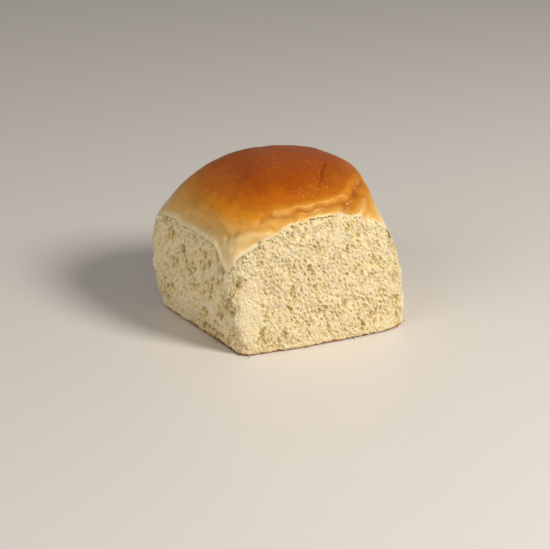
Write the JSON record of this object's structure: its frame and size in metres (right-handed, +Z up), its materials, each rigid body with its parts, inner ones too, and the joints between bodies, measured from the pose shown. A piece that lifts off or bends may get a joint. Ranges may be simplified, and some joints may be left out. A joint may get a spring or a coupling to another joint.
{
  "type": "bread roll",
  "caption": "Soft square pull-apart bread roll: a glossy browned pillow crown over torn, fluffy crumb sides and a flat baked base.",
  "frame": {"origin": "centre of the bounding box's underside, on the flat baked base", "axes": "+Z up through the crown; +X along the wide torn face; -Y out of the wide torn face; -X out of the narrower torn face that meets it at the sharp corner"},
  "size_m": [0.0934, 0.0666, 0.067],
  "materials": {
    "crumb": "soft matte torn crumb",
    "crust": "satin to glossy browned crust",
    "base_crust": "dry matte browned base"
  },
  "bodies": {
    "root": {"bread_roll": "crumb"}
  },
  "joints": []
}
